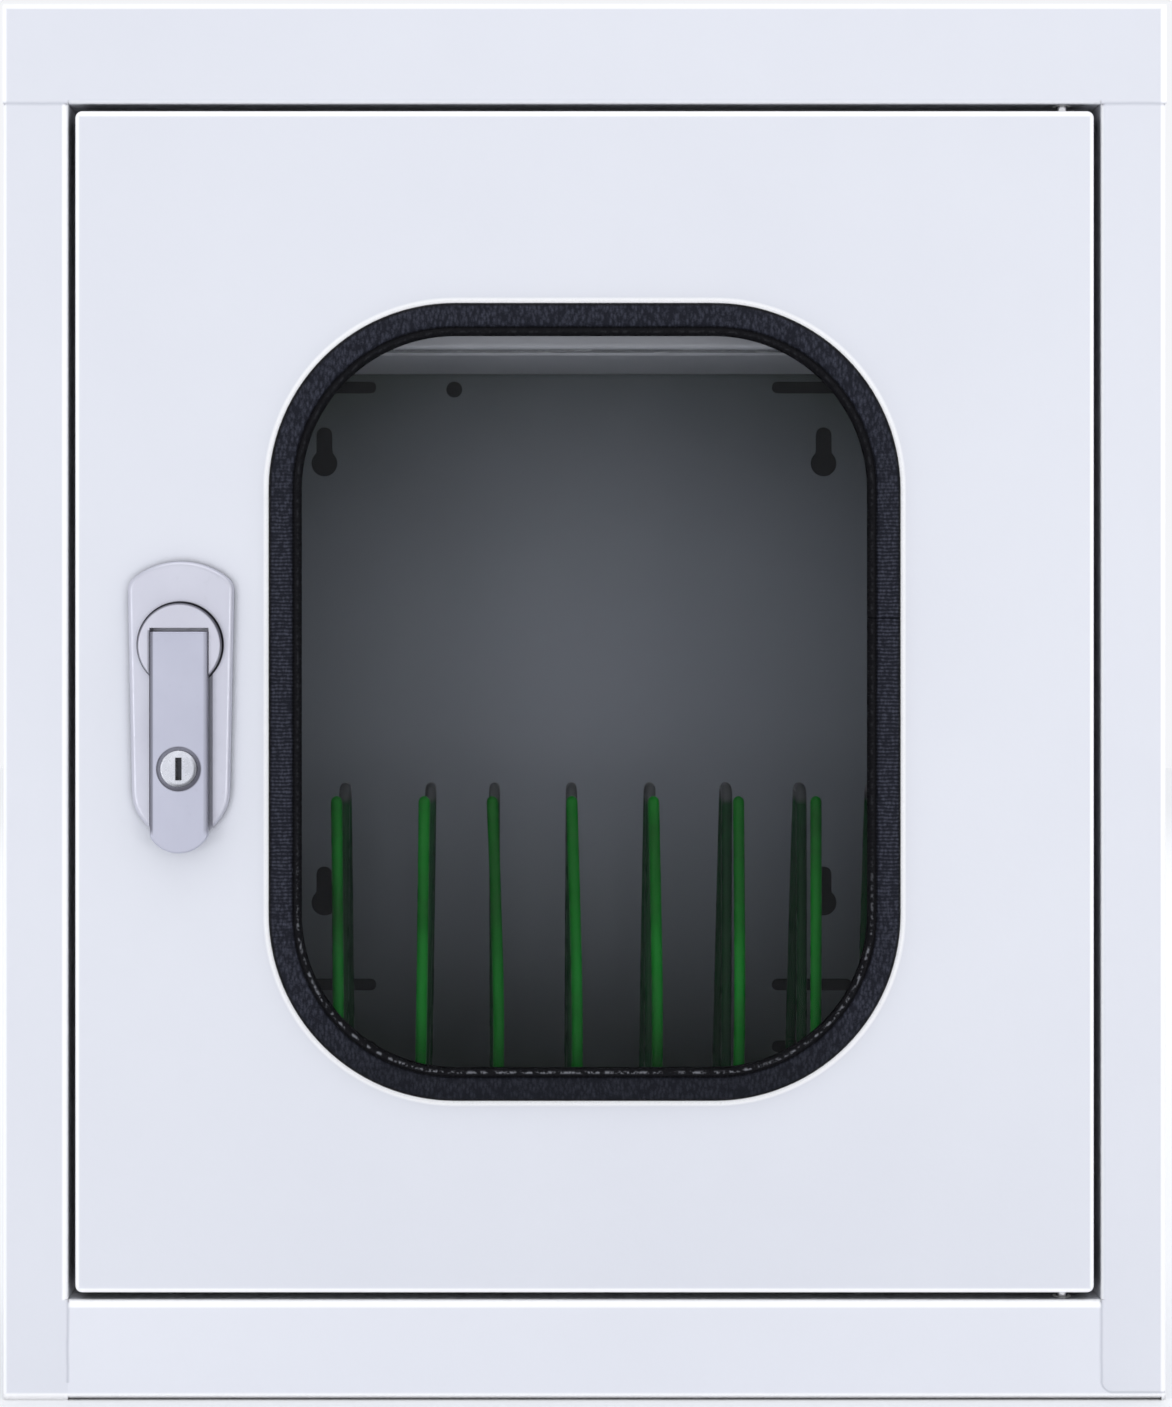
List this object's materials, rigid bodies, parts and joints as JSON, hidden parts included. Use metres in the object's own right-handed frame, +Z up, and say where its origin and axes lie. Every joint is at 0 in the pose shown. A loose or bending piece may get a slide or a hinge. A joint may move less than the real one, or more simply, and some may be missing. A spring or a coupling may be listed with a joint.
{
  "type": "uv sterilizer cabinet",
  "caption": "Wall-hung sheet-steel ultraviolet sterilizer cabinet with a flush, lockable door, tinted window and green wire tool rack.",
  "frame": {"origin": "centre of the cabinet's underside", "axes": "+Z up, -Y out of the door, +Y into the wall, +X towards the hinge side"},
  "size_m": [0.5, 0.2127, 0.6],
  "materials": {
    "paint_white": "smooth satin powder coat, cool white",
    "zinc_steel": "bright zinc plate",
    "screw_steel": "nickel plate",
    "bright_steel": "polished",
    "lock_satin": "satin pearl silver over die-cast zinc",
    "reflector_aluminium": "bright anodised",
    "cap_aluminium": "pressed",
    "quartz_glass": "clear",
    "tinted_glass": "grey tinted, polished",
    "white_plastic": "moulded",
    "black_plastic": "moulded, fine texture",
    "rocker_plastic": "moulded red",
    "terminal_plastic": "moulded",
    "wire_insulation": "extruded",
    "ballast_enamel": "enamel",
    "starter_shell": "moulded",
    "pin_brass": "nickel-washed",
    "green_coating": "dipped over steel wire, glossy",
    "bush_nylon": "moulded",
    "gasket_rubber": "extruded",
    "seal_rubber": "embossed grain"
  },
  "bodies": {
    "cabinet": {"left_side_panel": "paint_white", "right_side_panel": "paint_white", "top_panel": "paint_white", "bottom_panel": "paint_white", "rear_panel": "paint_white", "lamp_housing": "paint_white", "housing_brackets": "zinc_steel", "housing_screws": "screw_steel", "lamp_reflector": "reflector_aluminium", "lamp_tube": "quartz_glass", "lamp_caps": "cap_aluminium", "lamp_holders": "white_plastic", "ballast": "ballast_enamel", "ballast_screws": "screw_steel", "starter_socket": "white_plastic", "starter": "starter_shell", "terminal_block": "terminal_plastic", "wiring": "wire_insulation", "door_sensor": "black_plastic", "power_inlet": "black_plastic", "inlet_pins": "pin_brass", "inlet_screws": "screw_steel", "switch_body": "black_plastic", "rack_runners": "green_coating", "rack_rails": "green_coating", "rack_uprights": "green_coating", "rack_arches": "green_coating", "hinge_bushes": "bush_nylon"},
    "door": {"door_panel": "paint_white", "door_gasket": "gasket_rubber", "window_seal": "seal_rubber", "window_glass": "tinted_glass", "hinge_pins": "bright_steel", "hinge_blocks": "zinc_steel", "door_magnet": "black_plastic", "lock_housing": "lock_satin", "lock_nut": "zinc_steel", "stud_nut": "zinc_steel"},
    "rotor": {"lock_rotor": "lock_satin", "cam_sleeve": "zinc_steel", "latch_cam": "zinc_steel", "cam_washer": "zinc_steel", "cam_screw": "zinc_steel", "lever_pin": "bright_steel"},
    "lever": {"lever": "lock_satin"},
    "key": {"key_plug": "bright_steel"},
    "rocker": {"switch_rocker": "rocker_plastic"}
  },
  "joints": [
    {"name": "door_hinge", "type": "hinge", "parent": "cabinet", "child": "door", "pos_m": [0.2065, -0.092, 0.3], "axis": [0, 0, 1], "range_deg": [0, 110]},
    {"name": "handle_turn", "type": "hinge", "parent": "door", "child": "rotor", "pos_m": [-0.173, -0.1, 0.3246], "axis": [0, -1, 0], "range_deg": [0, 90]},
    {"name": "lever_lift", "type": "hinge", "parent": "rotor", "child": "lever", "pos_m": [-0.173, -0.1086, 0.325], "axis": [-1, 0, 0], "range_deg": [0, 35]},
    {"name": "key_turn", "type": "hinge", "parent": "lever", "child": "key", "pos_m": [-0.173, -0.11, 0.272], "axis": [0, 1, 0], "range_deg": [0, 90]},
    {"name": "power_rocker", "type": "hinge", "parent": "cabinet", "child": "rocker", "pos_m": [0.243, 0.01, 0.54], "axis": [0, 0, -1], "range_deg": [0, 14]}
  ]
}
